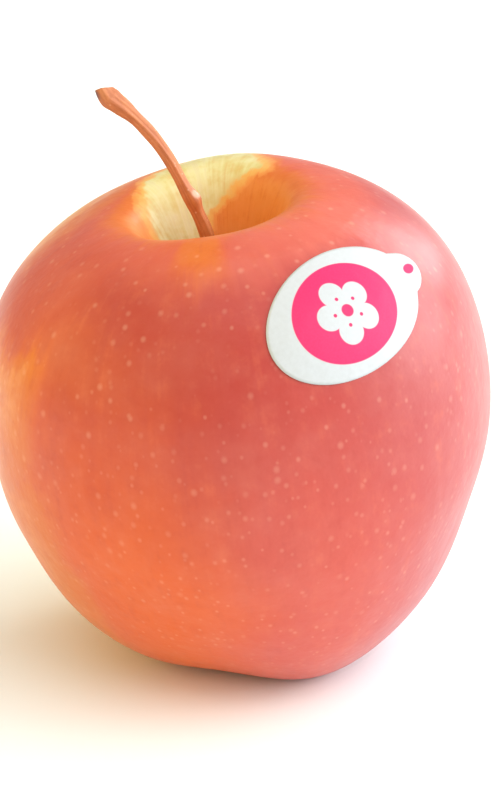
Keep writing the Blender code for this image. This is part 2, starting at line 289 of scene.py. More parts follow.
class Graph:
    """A node tree, with a short way to add nodes to it."""

    def __init__(self, tree):
        self.tree = tree
        tree.nodes.clear()

    def node(self, kind, **settings):
        made = self.tree.nodes.new("ShaderNode" + kind)
        for name, value in settings.items():
            setattr(made, name, value)
        return made

    def put(self, socket, value):
        if isinstance(value, bpy.types.NodeSocket):
            self.tree.links.new(value, socket)
        else:
            socket.default_value = value

    def maths(self, operation, *values, clamp=False):
        made = self.node("Math", operation=operation, use_clamp=clamp)
        for socket, value in zip(made.inputs, values):
            self.put(socket, value)
        return made.outputs[0]

    def times(self, first, *others):
        """The product of values."""
        product = first
        for value in others:
            product = self.maths("MULTIPLY", product, value)
        return product

    def total(self, *terms):
        """The sum of (value, weight) terms."""
        summed = None
        for value, weight in terms:
            if isinstance(value, bpy.types.NodeSocket):
                value = self.maths("MULTIPLY", value, weight)
            else:
                value *= weight
            summed = value if summed is None else self.maths("ADD", summed, value)
        return summed

    def vector(self, operation, *values):
        made = self.node("VectorMath", operation=operation)
        for socket, value in zip(made.inputs, values):
            self.put(socket, value)
        return made.outputs["Value" if operation in ("DOT_PRODUCT", "LENGTH", "DISTANCE") else "Vector"]

    def rise(self, value, start, end, low=0.0, high=1.0):
        """From low at start to high at end, with no corner at either."""
        made = self.node("MapRange", interpolation_type="SMOOTHSTEP")
        for socket, setting in zip(made.inputs, (value, start, end, low, high)):
            self.put(socket, setting)
        return made.outputs[0]

    def mix(self, factor, first, second):
        made = self.node("Mix", data_type="RGBA")
        for index, value in ((0, factor), (6, first), (7, second)):
            self.put(made.inputs[index], value)
        return made.outputs[2]

    def ramp(self, factor, stops):
        made = self.node("ValToRGB")
        self.put(made.inputs[0], factor)
        line = made.color_ramp
        line.interpolation = "EASE"
        while len(line.elements) < len(stops):
            line.elements.new(0.5)
        for element, (place, colour) in zip(line.elements, stops):
            element.position = place
            element.color = colour
        return made.outputs[0]

    def profile(self, value, points):
        """A value led through (place, level) points, straight between them."""
        led = points[0][1]
        for (start, low), (end, high) in zip(points, points[1:]):
            step = self.node("MapRange")
            for socket, setting in zip(step.inputs, (value, start, end, 0.0, high - low)):
                self.put(socket, setting)
            led = self.maths("ADD", led, step.outputs[0])
        return led

    def noise(self, vector, scale, detail=2.0, roughness=0.5):
        """Noise about 0, from -0.5 to 0.5."""
        made = self.node("TexNoise")
        self.put(made.inputs["Vector"], vector)
        for name, value in (("Scale", scale), ("Detail", detail), ("Roughness", roughness)):
            made.inputs[name].default_value = value
        return self.maths("SUBTRACT", made.outputs[0], 0.5)

    def cells(self, vector, scale):
        """Distance to the nearest of many scattered points, and that point's own random colour."""
        made = self.node("TexVoronoi")
        self.put(made.inputs["Vector"], vector)
        made.inputs["Scale"].default_value = scale
        return made.outputs["Distance"], made.outputs["Color"]

    def attribute(self, name, output="Fac"):
        return self.node("Attribute", attribute_name=name).outputs[output]

    def combine(self, x, y, z):
        made = self.node("CombineXYZ")
        for socket, value in zip(made.inputs, (x, y, z)):
            self.put(socket, value)
        return made.outputs[0]

    def separate(self, vector):
        made = self.node("SeparateXYZ")
        self.put(made.inputs[0], vector)
        return made.outputs

    def bump(self, height, strength, distance):
        made = self.node("Bump")
        made.inputs["Strength"].default_value = strength
        made.inputs["Distance"].default_value = distance
        self.put(made.inputs["Height"], height)
        return made.outputs[0]

    def surface(self, **inputs):
        shader = self.node("BsdfPrincipled")
        for name, value in inputs.items():
            self.put(shader.inputs[name.replace("_", " ")], value)
        self.tree.links.new(shader.outputs[0], self.node("OutputMaterial").inputs[0])
        return shader


def new_graph(name):
    material = bpy.data.materials.new(name)
    material.use_nodes = True
    return material, Graph(material.node_tree)


def smooth_share(value, start, end):
    share = np.clip((value - start) / (end - start), 0.0, 1.0)
    return share * share * (3.0 - 2.0 * share)


def meridian_points(stations):
    """(radius, height) of the meridian, at stations from 0 in the cavity to 1 in the basin."""
    first, last = MERIDIAN[1], MERIDIAN[-2]
    polygon = np.array([(-first[0], first[1]), *MERIDIAN, (-last[0], last[1])])
    spans = len(MERIDIAN) - 1
    span = np.minimum((stations * spans).astype(int), spans - 1)
    t = stations * spans - span
    weights = (
        (1.0 - t) ** 3 / 6.0,
        (3.0 * t**3 - 6.0 * t**2 + 4.0) / 6.0,
        (-3.0 * t**3 + 3.0 * t**2 + 3.0 * t + 1.0) / 6.0,
        t**3 / 6.0,
    )
    return sum(weight[..., None] * polygon[span + i] for i, weight in enumerate(weights))


def skin_points(azimuth, station):
    """Points of the skin about the fruit's axis, in millimetres, for arrays of azimuths and stations."""
    azimuth, station = np.broadcast_arrays(np.asarray(azimuth, float), np.asarray(station, float))
    line = meridian_points(station)
    radius, height = line[..., 0], line[..., 1]
    upper = smooth_share(height, UPPER_FROM, UPPER_TO)
    lower = smooth_share(height, LOWER_FROM, LOWER_TO)
    girth = np.minimum(radius / GIRTH_RADIUS, 1.0)
    east, north = np.cos(azimuth), np.sin(azimuth)
    crowding = LOBE_CROWDING * np.cos(azimuth - LOBE_CROWDING_AZIMUTH)
    lobe = np.cos(LOBES * (azimuth - LOBE_AZIMUTH) + crowding)
    saddle = RIM_SADDLE * np.cos(2.0 * (azimuth - RIM_SADDLE_AZIMUTH))
    lumps = np.sin(3.0 * azimuth + 0.12 * height) + 0.6 * np.sin(7.0 * azimuth - 0.09 * height + 1.3)
    knob = KNOB_DROP * lobe * np.minimum(radius / CROWN_RADIUS, 1.0)
    slope = math.tan(LEAN_TO_X) * east + math.tan(LEAN_TO_Y) * north
    level = CROWN_RADIUS * np.minimum(radius / CROWN_RADIUS, 1.3) * slope
    rim = RIM_RISE_X * east + RIM_RISE_Y * north + saddle
    out = radius * (
        1.0
        + FULLER_TO_X * east
        + FULLER_TO_Y * north
        + OVAL * np.cos(2.0 * (azimuth - OVAL_AZIMUTH))
        + lower * (CROWN_TO_X * east + CROWN_TO_Y * north)
        + girth * lobe * (LOBE_SWELL + CROWN_SWELL * lower * (1.0 - 0.3 * lower))
    )
    out = out + LUMP_HEIGHT * girth * lumps
    rise = upper * np.minimum(radius / RIM_RADIUS, 1.3) * rim - lower * (lower * knob + level)
    return np.stack([out * east, out * north, height + rise], axis=-1)


def lean():
    """The rotation that carries the fruit's own axis to its leaning place."""
    return Matrix.Rotation(LEAN_TO_Y, 4, "X") @ Matrix.Rotation(-LEAN_TO_X, 4, "Y")


def moved(points, matrix):
    """Points in millimetres carried by a matrix in metres."""
    turn = np.array(matrix.to_3x3())
    return points * MM @ turn.T + np.array(matrix.translation)


def mesh_from(name, points, faces, material, smooth=True, **attributes):
    """A mesh object in the row frame, with values given at each of its points."""
    mesh = bpy.data.meshes.new(name)
    mesh.from_pydata([tuple(point) for point in points], [], faces)
    for key, values in attributes.items():
        values = np.asarray(values, np.float32)
        kind = "FLOAT_VECTOR" if values.ndim == 2 else "FLOAT"
        made = mesh.attributes.new(key, kind, "POINT")
        made.data.foreach_set("vector" if values.ndim == 2 else "value", values.ravel())
    mesh.materials.append(material)
    if smooth:
        mesh.shade_smooth()
    mesh.update()
    made = bpy.data.objects.new(name, mesh)
    bpy.context.scene.collection.objects.link(made)
    return made


def ring_faces(rings, sides, first=0, closed=True):
    """Quads between rings of points, each ring's points following the last's."""
    faces = []
    for ring in range(rings - 1):
        for side in range(sides if closed else sides - 1):
            a = first + ring * sides + side
            b = first + ring * sides + (side + 1) % sides
            faces.append((a, b, b + sides, a + sides))
    return faces


def skin_grid():
    """(points about the axis, stations) of the whole skin: a pole, rings, a pole."""
    stations = np.linspace(0.0, 1.0, SKIN_RINGS + 1)[1:-1]
    azimuths = np.linspace(0.0, FULL_TURN, SKIN_SEGMENTS, endpoint=False)
    rings = skin_points(azimuths[None, :], stations[:, None]).reshape(-1, 3)
    poles = [skin_points(0.0, 0.0).reshape(1, 3), skin_points(0.0, 1.0).reshape(1, 3)]
    points = np.vstack([poles[0], rings, poles[1]])
    values = np.concatenate([[0.0], np.repeat(stations, SKIN_SEGMENTS), [1.0]])
    return points, values


def resting_place(points):
    """Where the fruit's own frame goes: leaning, centred, and FLAT_DEPTH into the ground."""
    turned = moved(points, lean())
    low, high = turned.min(axis=0), turned.max(axis=0)
    middle = (low + high) / 2
    return Matrix.Translation((-middle[0], -middle[1], -low[2] - FLAT_DEPTH * MM)) @ lean()


def facing(graph, direction, azimuth):
    """1 where a level direction points at an azimuth in degrees, 0 square to it and -1 opposite."""
    angle = math.radians(azimuth)
    return graph.vector("DOT_PRODUCT", direction, (math.cos(angle), math.sin(angle), 0.0))


def patch(graph, direction, station, form, spread=0.0):
    """How much a patch of ground colour shows: its strength inside, falling softly to 0 outside it."""
    azimuth, inner, outer, (begins, full, fades, ends), strength = form
    nearness = graph.maths("ADD", facing(graph, direction, azimuth), spread)
    side = graph.rise(nearness, math.cos(math.radians(outer)), math.cos(math.radians(inner)))
    return graph.times(side, graph.rise(station, begins, full), graph.rise(station, ends, fades), strength)


def dots(graph, place, scale, size, share):
    """Soft round dots where scattered points lie near the skin; share is how many of them show."""
    distance, colour = graph.cells(place, scale)
    own = graph.separate(colour)
    reach = graph.times(graph.total((own[0], 0.6), (0.7, 1.0)), size)
    dot = graph.rise(distance, reach, graph.times(reach, 0.15))
    return graph.times(dot, graph.maths("LESS_THAN", own[1], share))


def skin_fields(graph):
    """The places, directions, stations and noises that lead the skin's colours."""
    place = graph.attribute("grown_at", "Vector")
    true_station = graph.attribute("station")
    x, y, _ = graph.separate(place)
    unit = graph.vector("NORMALIZE", graph.combine(x, y, 0.0))
    unit_x, unit_y, _ = graph.separate(unit)
    wander = graph.noise(place, 0.075, 3.0, 0.6)
    swirl = graph.noise(place, 0.05, 2.0)
    shift = graph.combine(graph.times(swirl, 0.45), graph.times(wander, 0.45), 0.0)

    def streaks(around, along):
        """Noise that varies fast round the fruit and slowly down it, so that it runs along the meridians."""
        scaled = [graph.times(value, around) for value in (unit_x, unit_y)]
        return graph.noise(graph.combine(*scaled, graph.times(true_station, along)), 1.0, 3.0, 0.55)

    medium = streaks(13.0, 5.0)
    fine = streaks(40.0, 11.0)
    mottle = graph.noise(place, 0.35, 3.0, 0.6)
    return SimpleNamespace(
        place=place,
        x=x,
        y=y,
        unit=unit,
        turned=graph.vector("NORMALIZE", graph.vector("ADD", unit, shift)),
        wander=wander,
        medium=medium,
        fine=fine,
        mottle=mottle,
        true_station=true_station,
        station=graph.total((true_station, 1.0), (wander, 0.06), (medium, 0.03), (mottle, 0.012)),
        ragged=graph.total((true_station, 1.0), (wander, 0.04), (medium, 0.045), (fine, 0.02)),
    )


def red_colour(graph, skin):
    """The red: paler round the shoulder, deepest above the middle, orange or pink below, dull on the right."""
    warm = graph.rise(facing(graph, skin.turned, LOW_ORANGE_AZIMUTH), 0.50, 0.95)
    low = graph.mix(warm, LOW_PINK, LOW_ORANGE)
    colour = graph.mix(graph.rise(skin.station, 0.305, 0.365), SHOULDER_RED, DEEP_RED)
    early = graph.rise(facing(graph, skin.unit, EARLY_TURN_AZIMUTH), 0.75, 0.98)
    turning = graph.total((skin.station, 1.0), (early, 0.03))
    colour = graph.mix(graph.rise(turning, 0.395, 0.565), colour, low)
    # The first tint is painted sheen on the shoulder's front right; the other two are the skin's own tone.
    for direction, (azimuth, nearness, stations, strength, tint) in (
        (skin.turned, RIM_SHEEN_TINT),
        (skin.turned, LEFT_TINT),
        (skin.unit, RIGHT_TINT),
    ):
        beside = graph.rise(facing(graph, direction, azimuth), *nearness)
        share = graph.times(beside, graph.rise(skin.station, *stations, 0.0, strength))
        colour = graph.mix(share, colour, tint)
    return colour


def cream_part(graph, skin):
    """1 on the greenest part, which lies between two edges from the cavity to the back of the rim."""
    degrees = graph.times(graph.maths("ARCTAN2", skin.y, skin.x), 180.0 / math.pi)
    loose = graph.total(
        (degrees, 1.0), (skin.wander, 16.0), (skin.medium, 8.0), (skin.fine, 2.0), (skin.mottle, 12.0)
    )
    level = graph.total(
        (skin.true_station, 1.0), (skin.wander, 0.03), (skin.mottle, 0.02), (skin.fine, 0.004)
    )
    soft = graph.rise(skin.true_station, 0.22, 0.30, 26.0, 16.0)
    past_right = graph.maths("SUBTRACT", loose, graph.profile(level, CREAM_RIGHT))
    past_left = graph.maths("SUBTRACT", graph.profile(level, CREAM_LEFT), loose)
    return graph.times(
        graph.rise(graph.maths("DIVIDE", past_right, soft), -1.0, 1.0),
        graph.rise(graph.maths("DIVIDE", past_left, soft), -1.0, 1.0),
        graph.rise(level, 0.39, 0.33),
    )


def slanting_end(graph, skin):
    """What widens the bare patch behind, so that on its right it ends in long streaks along a slant."""
    behind = BEHIND_PATCH[0]
    slant = graph.total(
        (skin.medium, 0.38),
        (skin.fine, 0.14),
        (skin.mottle, 0.35),
        (skin.wander, 0.30),
        (graph.maths("SUBTRACT", 0.52, skin.true_station), 0.60),
        (facing(graph, skin.unit, behind), 1.0),
        (facing(graph, skin.turned, behind), -1.0),
    )
    return graph.times(slant, graph.rise(facing(graph, skin.unit, 30.0), 0.05, 0.6))


def bareness(graph, skin):
    """How bare the ground colour lies, from 0 to 1: in the cavity, on its rim, on the left and behind."""
    bare = graph.rise(skin.ragged, 0.327, 0.250, 0.0, 0.46)
    for more in (
        cream_part(graph, skin),
        patch(graph, skin.turned, skin.station, BEHIND_PATCH, slanting_end(graph, skin)),
        patch(graph, skin.unit, skin.station, LEFT_HIGH_PATCH),
        patch(graph, skin.turned, skin.station, LEFT_LOW_PATCH),
        patch(graph, skin.unit, skin.ragged, FRONT_RIM_PATCH),
        graph.rise(skin.ragged, 0.80, 0.94, 0.0, 0.72),
    ):
        bare = graph.maths("MAXIMUM", bare, more)

    # The streaks show most where the ground is half bare, and less inside the cavity.
    half = graph.times(bare, graph.maths("SUBTRACT", 1.1, bare), 3.0)
    streaked = graph.total((skin.medium, 0.22), (skin.fine, 0.12), (skin.mottle, 0.20))
    flecks = graph.times(streaked, half, graph.rise(skin.true_station, 0.25, 0.34, 0.35, 1.0))
    return graph.maths("ADD", bare, flecks, clamp=True)


def ground_colour(graph, skin, bare):
    """The ground colour; where it lies bare it varies from cream to greenish yellow in soft bands."""
    bands = graph.total((skin.medium, 0.8), (skin.mottle, 0.9), (skin.wander, 0.9))
    ripe = graph.mix(graph.rise(bands, -0.30, 0.35), CREAM, GREENISH)
    return graph.mix(graph.rise(bare, 0.82, 1.0), graph.ramp(bare, GROUND), ripe)


def lenticels(graph, skin):
    """Pale dots: sparser and larger near the stem, denser and smaller towards the calyx."""
    drawn_out = graph.vector("MULTIPLY", skin.place, (1.0, 1.0, 0.84))
    lower = graph.rise(skin.true_station, 0.34, 0.60)
    large = graph.times(dots(graph, drawn_out, 0.42, 0.25, 0.80), graph.total((lower, -0.32), (0.60, 1.0)))
    small = graph.times(dots(graph, drawn_out, 0.58, 0.26, 0.85), graph.total((lower, 0.40), (0.16, 1.0)))
    return graph.times(graph.maths("MAXIMUM", large, small), graph.rise(skin.true_station, 0.25, 0.32))


def make_skin_material():
    material, graph = new_graph("apple_skin")
    skin = skin_fields(graph)
    bare = bareness(graph, skin)
    colour = graph.mix(graph.rise(bare, 0.0, 0.34), red_colour(graph, skin), ground_colour(graph, skin, bare))

    # Faint streaks, paler and darker than the skin, and browner deep in the cavity.
    pale = graph.total((skin.medium, 0.7), (skin.fine, 0.5), (skin.mottle, 1.0))
    colour = graph.mix(graph.rise(pale, 0.0, 0.45, 0.0, 0.20), colour, RED_STREAK_PALE)
    dark = graph.total((skin.medium, 0.8), (skin.fine, 0.5), (skin.mottle, 1.0))
    colour = graph.mix(graph.rise(dark, -0.02, -0.45, 0.0, 0.18), colour, RED_STREAK_DARK)
    depth_brown = graph.rise(graph.total((skin.true_station, 1.0), (skin.medium, 0.05)), 0.15, 0.03)
    colour = graph.mix(graph.times(depth_brown, 0.75), colour, CAVITY_DEPTH_BROWN)

    spots = lenticels(graph, skin)
    colour = graph.mix(graph.times(spots, 0.85), colour, graph.mix(0.30, colour, LENTICEL))

    # A thin bloom of wax, patchy, lightens the skin.
    waxy = graph.total((graph.noise(skin.place, 0.12, 4.0, 0.6), 1.0), (skin.mottle, 0.4))
    colour = graph.mix(graph.rise(waxy, -0.25, 0.35, 0.0, 0.05), colour, WAX_BLOOM)

    hollow = graph.rise(skin.true_station, 0.30, 0.22)
    ripple = graph.noise(skin.place, 0.22, 3.0, 0.5)
    grain = graph.noise(skin.place, 2.6, 2.0, 0.6)
    graph.surface(
        Base_Color=colour,
        Roughness=graph.total((0.36, 1.0), (ripple, 0.10), (spots, 0.08), (hollow, 0.28)),
        Normal=graph.bump(graph.total((ripple, 1.0), (grain, 0.04), (spots, 0.03)), 0.35, 0.0006),
        Subsurface_Weight=0.08,
        Subsurface_Radius=(0.004, 0.0015, 0.0008),
        Subsurface_Scale=1.0,
        Specular_IOR_Level=0.4,
        Coat_Weight=0.10,
        Coat_Roughness=0.25,
    )
    return material


def make_fruit():
    """The skin as one fine surface, and the matrix from the fruit's own frame to the row frame."""
    points, stations = skin_grid()
    axis = resting_place(points)
    rings = SKIN_RINGS - 1
    faces = ring_faces(rings, SKIN_SEGMENTS, 1)
    last = len(points) - 1
    foot = 1 + (rings - 1) * SKIN_SEGMENTS
    for side in range(SKIN_SEGMENTS):
        after = (side + 1) % SKIN_SEGMENTS
        faces.append((0, 1 + after, 1 + side))
        faces.append((last, foot + side, foot + after))
    faces = [face[::-1] for face in faces]
    placed = moved(points, axis)
    placed[:, 2] = np.maximum(placed[:, 2], 0.0)
    fruit = mesh_from("fruit_skin", placed, faces, make_skin_material(), grown_at=points, station=stations)
    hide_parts("fruit")
    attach(fruit, "root")
    return fruit, axis


def stem_line(count):
    """Points and radii along the stem: a clamped cubic B-spline on its path."""
    control = np.array(STEM_PATH, float)
    order, number = 4, len(STEM_PATH)
    inner_knots = np.linspace(0, 1, number - order + 2)
    knots = np.concatenate([np.zeros(order - 1), inner_knots, np.ones(order - 1)])
    places = np.linspace(0.0, 1.0 - 1e-9, count)
    basis = [((knots[i] <= places) & (places < knots[i + 1])).astype(float) for i in range(len(knots) - 1)]
    for degree in range(1, order):
        raised = []
        for i in range(len(knots) - 1 - degree):
            left, right = knots[i + degree] - knots[i], knots[i + degree + 1] - knots[i + 1]
            value = 0.0
            if left > 0:
                value = value + (places - knots[i]) / left * basis[i]
            if right > 0:
                value = value + (knots[i + degree + 1] - places) / right * basis[i + 1]
            raised.append(value + np.zeros(count))
        basis = raised
    return sum(weight[:, None] * point for weight, point in zip(basis, control))


def make_stem_material():
    material, graph = new_graph("stem_bark")
    place = graph.attribute("grown_at", "Vector")
    along = graph.attribute("along")
    round_x = graph.attribute("round_x")
    round_y = graph.attribute("round_y")

    def fibres(around, lengthwise):
        """A place for noise that runs along the stem."""
        return graph.combine(
            graph.times(round_x, around), graph.times(round_y, around), graph.times(along, lengthwise)
        )

    grain = graph.noise(fibres(2.4, 7.0), 1.0, 4.0, 0.6)
    fibre = graph.noise(fibres(6.0, 16.0), 1.0, 3.0)
    blotch = graph.noise(place, 0.45, 3.0, 0.6)
    colour = graph.ramp(graph.total((0.52, 1.0), (grain, 0.8), (blotch, 0.6)), BARK)
    colour = graph.mix(graph.rise(along, 0.42, 0.22, 0.0, 0.55), colour, BARK_ROOT)
    apart, own = graph.cells(place, 1.3)
    shown = graph.maths("LESS_THAN", graph.separate(own)[0], 0.25)
    colour = graph.mix(graph.times(graph.rise(apart, 0.28, 0.12), shown, 0.3), colour, BARK_SPECK)
    rings = graph.noise(place, 1.6, 3.0, 0.7)
    cut = graph.ramp(graph.maths("ADD", 0.5, rings), CUT_WOOD)
    colour = graph.mix(graph.attribute("end"), colour, cut)

    # A painted highlight on the bud scar, and a dark purple corner at the stem's cut tip.
    for point, start, full, wood in (
        (SCAR_HIGHLIGHT_AT, 1.0, 0.4, SCAR_HIGHLIGHT_COLOUR),
        (STEM_DARK_CORNER, 1.5, 0.5, DARK_WOOD),
    ):
        distance = graph.total((graph.vector("DISTANCE", place, point), 1.0), (blotch, 0.5))
        colour = graph.mix(graph.rise(distance, start, full), colour, wood)
    graph.surface(
        Base_Color=colour,
        Roughness=graph.total((0.55, 1.0), (grain, 0.25)),
        Normal=graph.bump(graph.total((grain, 0.7), (fibre, 0.3)), 0.45, 0.0003),
    )
    return material


def make_stem(axis):
    line = stem_line(STEM_RINGS)
    path, thickness = line[:, :3], line[:, 3]
    tangents = np.gradient(path, axis=0)
    tangents /= np.linalg.norm(tangents, axis=1)[:, None]
    turns = np.linspace(0.0, FULL_TURN, STEM_SIDES, endpoint=False)
    side = np.array([0.0, 1.0, 0.0])
    cut_at, cut_facing = np.array(STEM_CUT_AT), np.array(STEM_CUT_FACING)
    cut_facing = cut_facing / np.linalg.norm(cut_facing)
    scar = np.array(BUD_SCAR_AT)
    points, along, ends, around = [], [], [], []
    rng = random.Random(7)
    phases = [rng.uniform(0, 6.28) for _ in range(5)]
    for number, (middle, tangent, radius) in enumerate(zip(path, tangents, thickness)):
        share = number / (STEM_RINGS - 1)
        side = side - tangent * (side @ tangent)
        side /= np.linalg.norm(side)
        other = np.cross(tangent, side)

        # Five broad ribs, finer ridges between them, and slight swellings along the stem.
        twist = STEM_TWIST * share
        ribs = 1.0 + 0.07 * np.cos(5.0 * (turns + twist) + 0.6 * math.sin(7.0 * share + phases[0]))
        ribs += 0.035 * np.cos(9.0 * turns + phases[1] + 9.0 * share)
        ribs += 0.03 * np.sin(3.0 * turns + phases[2] - 6.0 * share)
        knots = 1.0 + 0.04 * math.sin(31.0 * share + phases[3]) + 0.03 * math.sin(53.0 * share + phases[4])
        outward = np.cos(turns)[:, None] * side + np.sin(turns)[:, None] * other
        ring = middle + (radius * knots * ribs)[:, None] * outward

        # The bud scar stands out from one side.
        near = np.exp(-(((ring - scar) / BUD_SCAR_SIZE) ** 2).sum(axis=1))
        away = (ring - middle) / np.linalg.norm(ring - middle, axis=1)[:, None]
        ring += BUD_SCAR_HEIGHT * near[:, None] * away

        # What lies beyond the slanting cut is drawn back to it.
        beyond = np.maximum((ring - cut_at) @ cut_facing, 0.0)
        ring -= (beyond / (tangent @ cut_facing))[:, None] * tangent
        points.append(ring)
        along.append(np.full(STEM_SIDES, share))
        ends.append((beyond > 0.02).astype(float))
        around.append(np.stack([np.cos(turns), np.sin(turns)], axis=1))
    points = np.vstack(points)
    faces = ring_faces(STEM_RINGS, STEM_SIDES)
    faces.append(tuple(range((STEM_RINGS - 1) * STEM_SIDES, STEM_RINGS * STEM_SIDES)))
    faces.append(tuple(range(STEM_SIDES))[::-1])
    around = np.vstack(around)
    stem = mesh_from(
        "stem_bark",
        moved(points, axis),
        faces,
        make_stem_material(),
        grown_at=points,
        along=np.concatenate(along),
        end=np.concatenate(ends),
        round_x=around[:, 0],
        round_y=around[:, 1],
    )
    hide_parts("stem")
    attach(stem, "root")


def make_calyx_material():
    material, graph = new_graph("dried_flower")
    place = graph.attribute("grown_at", "Vector")
    blotch = graph.noise(place, 1.1, 4.0, 0.65)
    fuzz = graph.noise(place, 6.0, 3.0, 0.7)
    colour = graph.ramp(graph.total((0.45, 1.0), (blotch, 0.9), (fuzz, 0.5)), DRIED)
    colour = graph.mix(graph.times(graph.attribute("tip"), 0.45), colour, DRIED_TIP)
    graph.surface(
        Base_Color=colour,
        Roughness=graph.total((0.85, 1.0), (fuzz, 0.2)),
        Normal=graph.bump(graph.maths("ADD", blotch, fuzz), 0.8, 0.0003),
    )
    return material


def sepal_sheet(form, rng):
    """One sepal, as points about the axis, faces, and how near each point is to the tip."""
    turn, length, width, curl = form
    across, along = np.meshgrid(np.linspace(-1, 1, SEPAL_ACROSS), np.linspace(0, 1, SEPAL_ALONG))
    across, along = across.ravel(), along.ravel()
    half = width / 2 * (1.0 - along) ** 0.7 * (1.0 + 0.5 * along)
    bend = np.radians(-12.0 + (curl + 12.0) * along**2)
    fold = 0.35 * (1.0 - along) + 0.1
    wave = 0.16 * np.sin(6.0 * along + rng.uniform(0, 6.28)) * across
    wave = wave + 0.12 * np.sin(11.0 * along + rng.uniform(0, 6.28))
    outward = SEPAL_ROOT_RADIUS + length * 0.62 * along * np.sin(bend) + fold * across**2 + wave * along
    down = length * along * (1.0 - 0.3 * along**2)
    middle = np.stack([outward, across * np.maximum(half, 0.05), BUTTON_BOTTOM + 0.7 - down], axis=1)
    thick = SEPAL_THICKNESS * (1.0 - 0.6 * along) * (1.0 - 0.5 * across**2)
    offset = np.stack([thick, 0 * thick, 0.3 * thick], axis=1)
    angle = math.radians(turn)
    spin = np.array(((math.cos(angle), -math.sin(angle), 0), (math.sin(angle), math.cos(angle), 0), (0, 0, 1)))
    points = np.vstack([middle + offset, middle - offset]) @ spin.T

    # Two sides, back to back, and the rim that joins them.
    size = SEPAL_ACROSS * SEPAL_ALONG
    outer = ring_faces(SEPAL_ALONG, SEPAL_ACROSS, 0, closed=False)
    faces = outer + [tuple(v + size for v in face[::-1]) for face in outer]
    rim = list(range(SEPAL_ACROSS))
    rim += [row * SEPAL_ACROSS + SEPAL_ACROSS - 1 for row in range(1, SEPAL_ALONG)]
    rim += [size - 1 - k for k in range(1, SEPAL_ACROSS)]
    rim += [row * SEPAL_ACROSS for row in range(SEPAL_ALONG - 2, 0, -1)]
    for a, b in zip(rim, rim[1:] + rim[:1]):
        faces.append((b, a, a + size, b + size))
    return points, faces, np.concatenate([along, along])


def tube(path, radii, sides):
    """A round tube along a path about the axis, closed at both ends."""
    tangents = np.gradient(path, axis=0)
    tangents /= np.linalg.norm(tangents, axis=1)[:, None]
    turns = np.linspace(0.0, FULL_TURN, sides, endpoint=False)
    points = []
    for middle, tangent, radius in zip(path, tangents, radii):
        side = np.cross(tangent, (0.3, 0.9, 0.1))
        side /= np.linalg.norm(side)
        other = np.cross(tangent, side)
        points.append(middle + radius * (np.cos(turns)[:, None] * side + np.sin(turns)[:, None] * other))
    faces = ring_faces(len(path), sides)
    faces += [tuple(range(sides))[::-1], tuple(range((len(path) - 1) * sides, len(path) * sides))]
    return np.vstack(points), faces


def make_calyx(axis):
    rng = random.Random(11)
    points, faces, tips = [], [], []

    def add(more, more_faces, tip):
        start = sum(len(part) for part in points)
        points.append(more)
        faces.extend(tuple(v + start for v in face) for face in more_faces)
        tips.append(tip)

    levels = np.linspace(0.0, 1.0, 9)
    reach = BUTTON_RADIUS * np.sqrt(np.clip(1.0 - (levels * 0.97) ** 4, 0.0, 1.0))
    core = np.stack([0 * levels, 0 * levels, BUTTON_TOP + (BUTTON_BOTTOM - BUTTON_TOP) * levels], axis=1)
    more, more_faces = tube(core, reach, BUTTON_SIDES)
    add(more, more_faces, np.zeros(len(more)))
    for form in SEPALS:
        add(*sepal_sheet(form, rng))
    steps = np.linspace(0.0, 1.0, STAMEN_STEPS)
    for number in range(STAMENS):
        ring = TUFT_RADIUS * math.sqrt((number + 0.5) / STAMENS)
        length = rng.uniform(1.8, 3.2)
        spread = ring + rng.uniform(-0.2, 0.5) * steps**2
        swerve = number * STAMEN_TURN + rng.uniform(-0.5, 0.5) * steps**2
        down = BUTTON_BOTTOM + 0.5 - (length + 0.5) * steps
        path = np.stack([spread * np.cos(swerve), spread * np.sin(swerve), down], axis=1)
        radii = np.where(steps > 0.8, 0.22, 0.12 - 0.03 * steps)
        more, more_faces = tube(path, radii, STAMEN_SIDES)
        add(more, more_faces, np.repeat(steps * 0.8, STAMEN_SIDES))
    points = np.vstack(points)
    tips = np.concatenate(tips)
    placed = moved(points, axis)
    calyx = mesh_from("calyx_dried", placed, faces, make_calyx_material(), grown_at=points, tip=tips)
    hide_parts("calyx")
    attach(calyx, "root")


def label_reach(turns):
    """How far the label's edge lies from its middle, at each turn: an oval with a round tab."""
    a, b = LABEL_LENGTH / 2, LABEL_WIDTH / 2
    oval = a * b / np.hypot(b * np.cos(turns), a * np.sin(turns))
    off = turns - TAB_DIRECTION
    inside = TAB_RADIUS**2 - (TAB_REACH * np.sin(off)) ** 2
    tab = TAB_REACH * np.cos(off) + np.sqrt(np.maximum(inside, 0.0))
    return np.where((inside > 0.0) & (np.cos(off) > 0.0), np.maximum(oval, tab), oval)


def label_frame():
    """The label's own frame about the fruit's axis: X along its length and Z straight out of the skin."""
    step = 0.001
    middle = Vector(skin_points(LABEL_AZIMUTH, LABEL_STATION))
    beside = Vector(skin_points(LABEL_AZIMUTH + step, LABEL_STATION))
    below = Vector(skin_points(LABEL_AZIMUTH, LABEL_STATION + step))
    east = (beside - middle).normalized()
    north = (middle - below).normalized()
    outward = east.cross(north).normalized()
    along = Matrix.Rotation(LABEL_TURN, 3, outward) @ east
    across = outward.cross(along)
    turned = Matrix((along, across, outward)).transposed().to_4x4()
    return Matrix.Translation(middle * MM) @ turned


